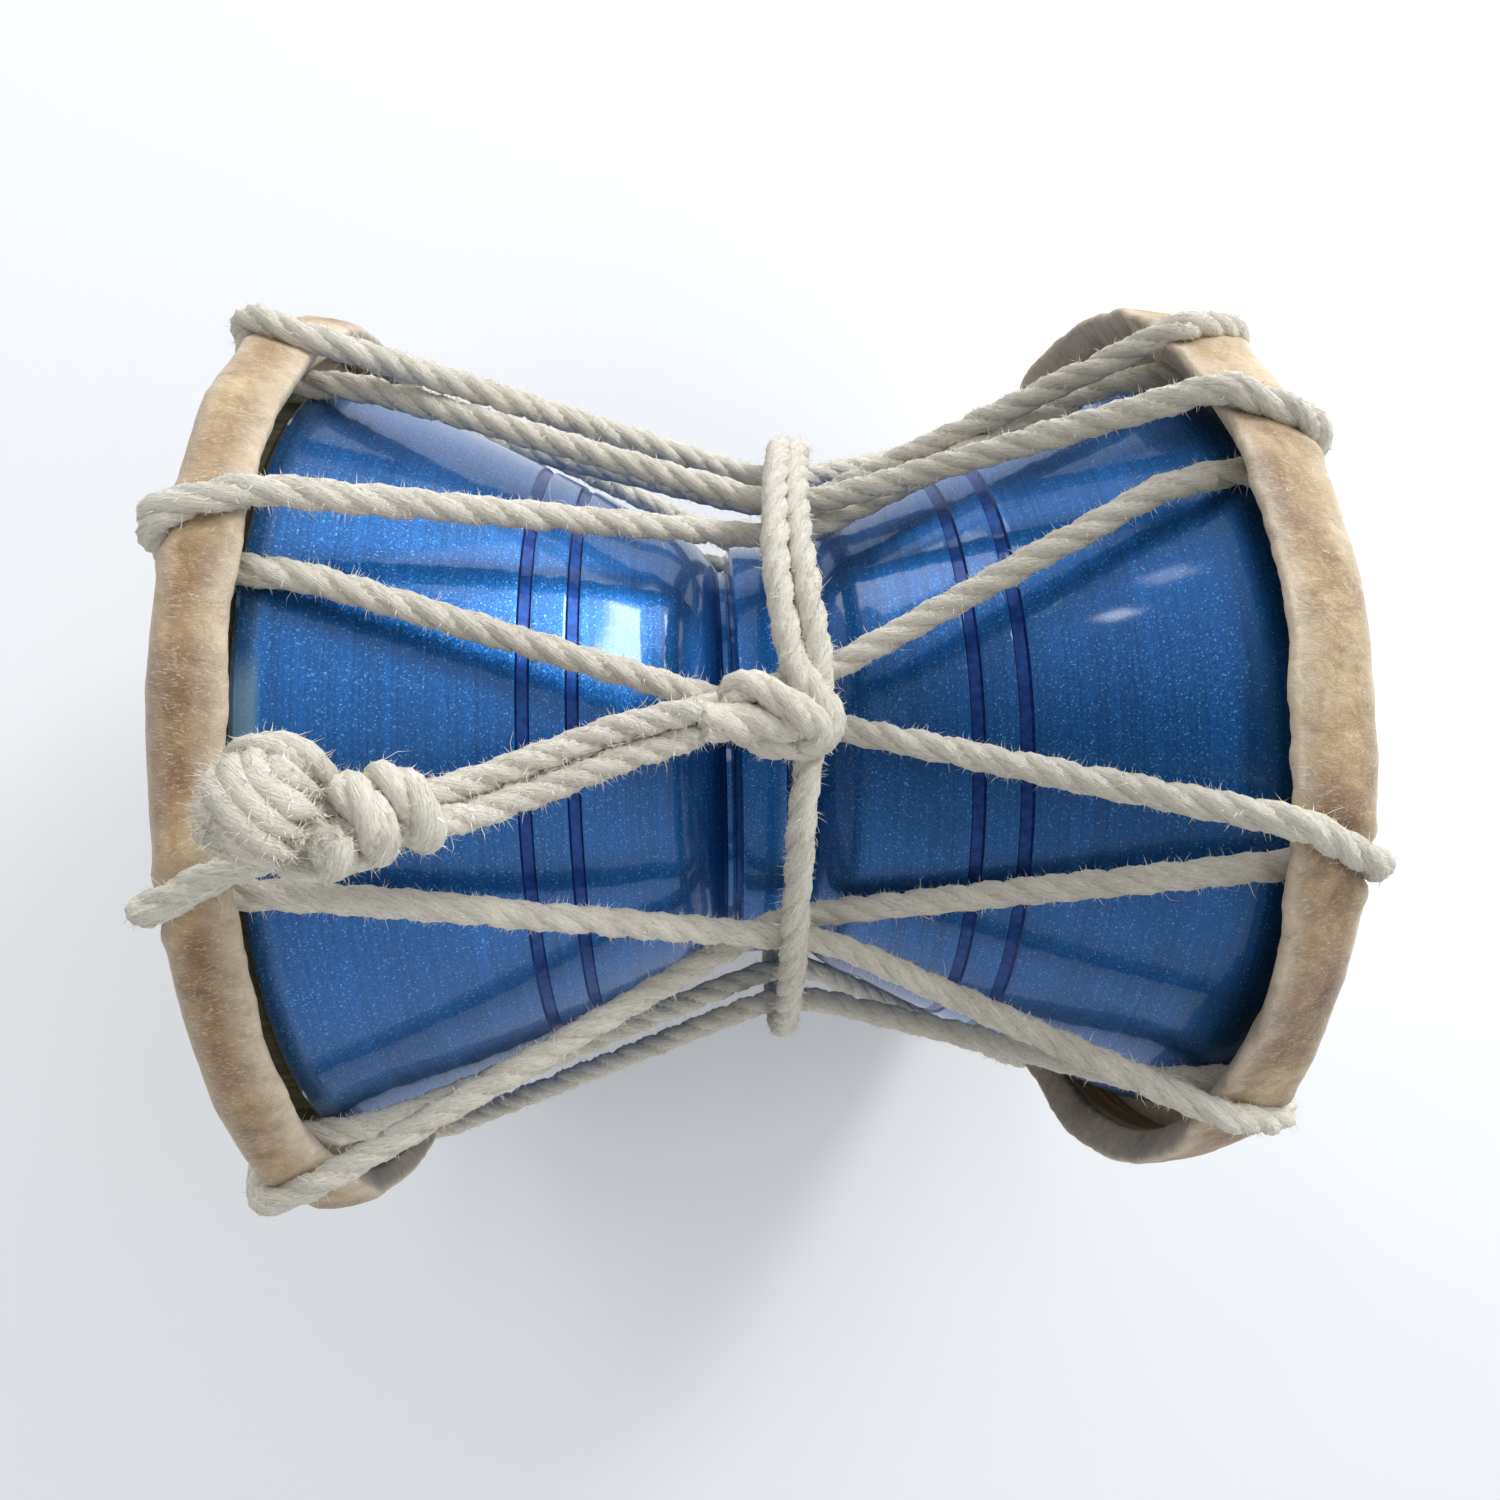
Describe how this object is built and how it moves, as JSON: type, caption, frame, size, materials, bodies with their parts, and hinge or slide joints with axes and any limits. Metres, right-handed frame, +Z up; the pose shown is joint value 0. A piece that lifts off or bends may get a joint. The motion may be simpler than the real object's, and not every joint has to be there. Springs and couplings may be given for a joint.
{
  "type": "hourglass hand drum",
  "caption": "Small hourglass drum: turned wooden shell, hide heads lapped over hoops, zigzag cord lacing gathered at the waist, and a knotted cord striker.",
  "frame": {"origin": "middle of the footprint, on the surface that the drum lies on, with the striker left out", "axes": "+X along the drum's axis towards the head with the wider band, +Y towards the picture's top edge, +Z up"},
  "size_m": [0.1172, 0.1189, 0.1278],
  "materials": {
    "blue_lacquer": "translucent blue lacquer with fine metal flake over turned wood, glossy",
    "bamboo": "split bamboo bent to a ring, raw",
    "goat_hide": "dried raw goat hide, matt, short pale hairs left at the edge",
    "cotton_cord": "three-ply unbleached cotton cord, fuzzy"
  },
  "bodies": {
    "drum": {"wooden_shell": "blue_lacquer", "left_hoop": "bamboo", "right_hoop": "bamboo", "left_head_skin": "goat_hide", "right_head_skin": "goat_hide", "first_lacing_cord": "cotton_cord", "second_lacing_cord": "cotton_cord", "waist_binding": "cotton_cord", "waist_knot": "cotton_cord"},
    "striker": {"striker_cord": "cotton_cord", "striker_knot": "cotton_cord", "striker_end_knot": "cotton_cord"}
  },
  "joints": [
    {"name": "striker_swing", "type": "hinge", "parent": "drum", "child": "striker", "pos_m": [-0.0075, 0.0029, 0.10563], "axis": [0, 1, 0], "range_deg": [0, 132]}
  ]
}
